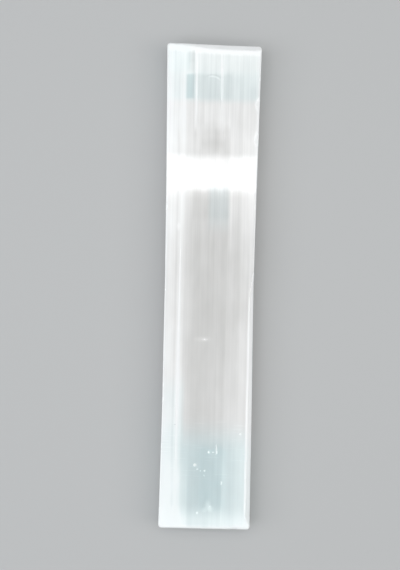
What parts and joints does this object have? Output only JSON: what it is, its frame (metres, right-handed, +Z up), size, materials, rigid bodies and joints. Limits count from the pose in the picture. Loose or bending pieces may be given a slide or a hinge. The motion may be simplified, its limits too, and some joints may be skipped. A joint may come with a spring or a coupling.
{
  "type": "selenite slab",
  "caption": "Sawn and polished bar of fibrous satin-spar selenite with eased edges, milky white and partly see-through, lying flat on its broad underside",
  "frame": {"origin": "middle of the underside, on the surface that the slab rests on", "axes": "+X across the slab, +Y along the fibres towards the slightly wider head end, +Z up through the thickness"},
  "size_m": [0.037, 0.19, 0.01],
  "materials": {
    "slab": "polished, silky, with fibres along the length"
  },
  "bodies": {
    "root": {"slab": "slab"}
  },
  "joints": []
}
